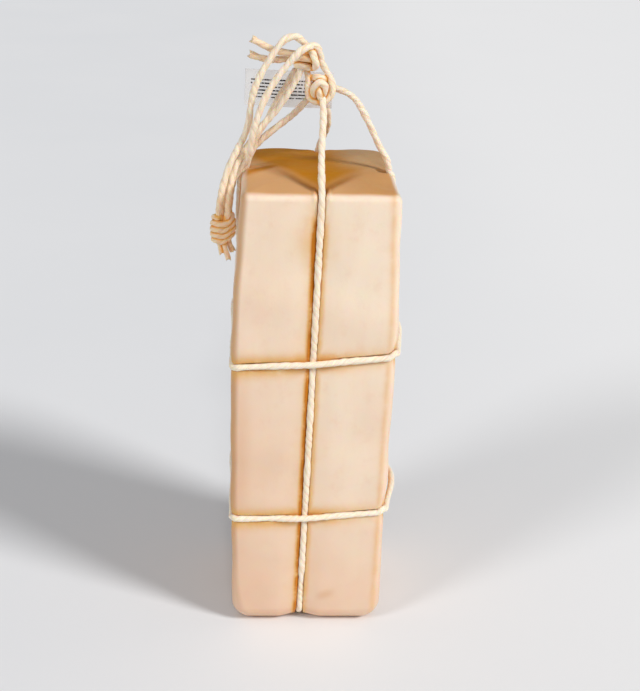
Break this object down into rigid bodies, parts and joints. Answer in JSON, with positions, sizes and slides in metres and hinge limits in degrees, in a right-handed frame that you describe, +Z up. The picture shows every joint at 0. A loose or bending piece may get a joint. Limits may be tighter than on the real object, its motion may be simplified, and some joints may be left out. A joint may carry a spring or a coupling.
{
  "type": "caciocavallo cheese",
  "caption": "Tall block of caciocavallo, a stretched-curd cheese, tied lengthwise and around with natural twine, with a knotted loop to hang it by and a small tag.",
  "frame": {"origin": "under the middle of the part without its free twine, on the level that the cheese stands on", "axes": "+Z up along the block, -Y towards the front, +X to the right as seen from the front"},
  "size_m": [0.1389, 0.1358, 0.4284],
  "materials": {
    "rind": "satin, waxy rind",
    "twine": "twisted natural fibre",
    "film": "thin milky film"
  },
  "bodies": {
    "root": {"cheese_block": "rind", "twine_front_back": "twine", "twine_left_right": "twine", "twine_ring_lower": "twine", "twine_ring_upper": "twine", "loop_outer": "twine", "loop_front": "twine", "loop_inner": "twine", "loop_back": "twine", "loose_end_upper": "twine", "loose_end_lower": "twine", "knot_main": "twine", "knot_tail": "twine", "tag": "film"}
  },
  "joints": []
}
